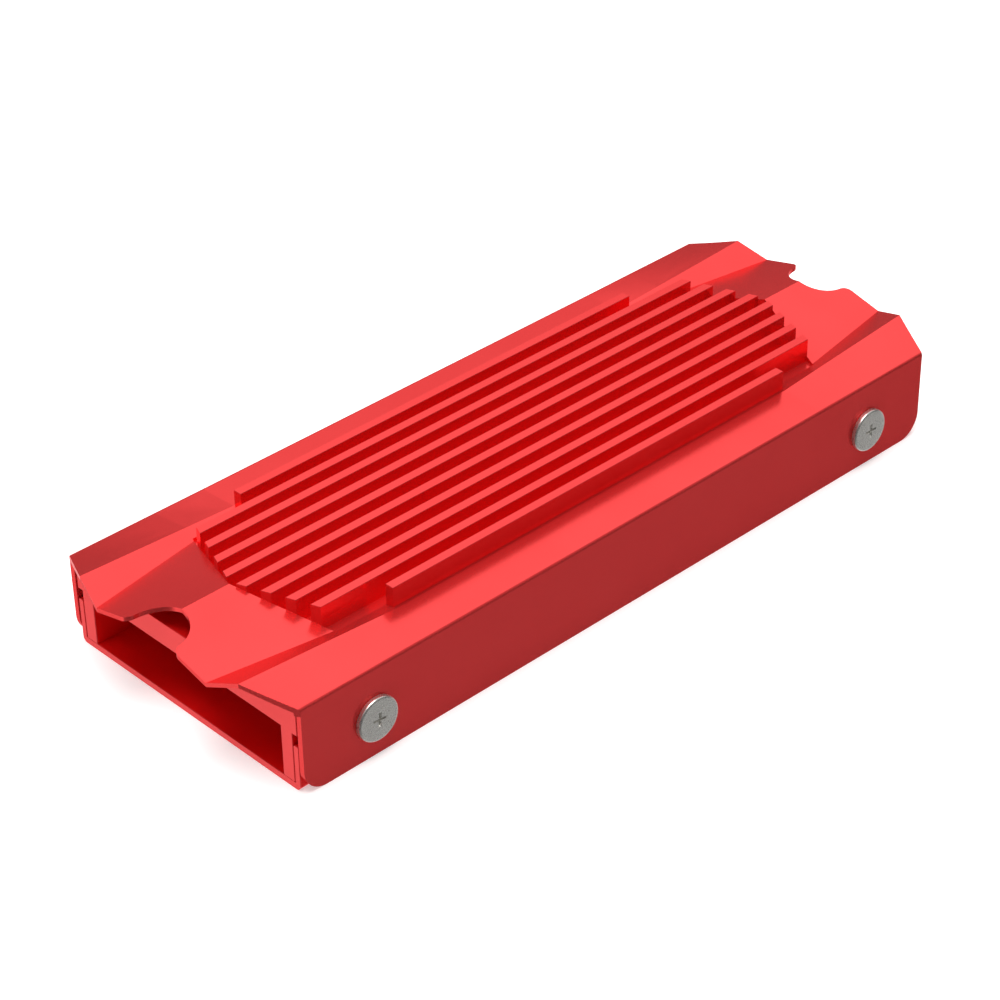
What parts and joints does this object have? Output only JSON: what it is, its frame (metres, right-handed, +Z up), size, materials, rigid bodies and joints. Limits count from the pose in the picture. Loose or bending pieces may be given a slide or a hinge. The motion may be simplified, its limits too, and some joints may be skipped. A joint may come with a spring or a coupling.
{
  "type": "m.2 solid state drive heatsink",
  "caption": "Slim finned aluminium heatsink case that closes around a stick-shaped solid state drive, open at both ends, with side screws.",
  "frame": {"origin": "middle of the underside: under the centre of the case, on the surface it lies on", "axes": "+X along the case, +Y across it, +Z up out of the fins; the pictured side faces -Y and the nearer open end faces -X"},
  "size_m": [0.0778, 0.0294, 0.0102],
  "materials": {
    "anodised_cover": "bead-blasted, red anodised",
    "anodised_channel": "extruded, red anodised",
    "anodised_tray": "bent sheet, red anodised",
    "screw_steel": "nickel plated",
    "thermal_silicone": "soft matt silicone pad"
  },
  "bodies": {
    "tray": {"bottom_tray": "anodised_tray", "lower_thermal_pad": "thermal_silicone"},
    "cover": {"finned_cover": "anodised_cover", "inner_channel": "anodised_channel", "upper_thermal_pad": "thermal_silicone"},
    "front_left_screw": {"front_left_screw": "screw_steel"},
    "front_right_screw": {"front_right_screw": "screw_steel"},
    "back_left_screw": {"back_left_screw": "screw_steel"},
    "back_right_screw": {"back_right_screw": "screw_steel"}
  },
  "joints": [
    {"name": "cover_lift", "type": "slide", "parent": "tray", "child": "cover", "axis": [0, 0, 1], "range_m": [0, 0.03]},
    {"name": "front_left_screw_out", "type": "slide", "parent": "cover", "child": "front_left_screw", "axis": [0, -1, 0], "range_m": [0, 0.004]},
    {"name": "front_right_screw_out", "type": "slide", "parent": "cover", "child": "front_right_screw", "axis": [0, -1, 0], "range_m": [0, 0.004]},
    {"name": "back_left_screw_out", "type": "slide", "parent": "cover", "child": "back_left_screw", "axis": [0, 1, 0], "range_m": [0, 0.004]},
    {"name": "back_right_screw_out", "type": "slide", "parent": "cover", "child": "back_right_screw", "axis": [0, 1, 0], "range_m": [0, 0.004]}
  ]
}
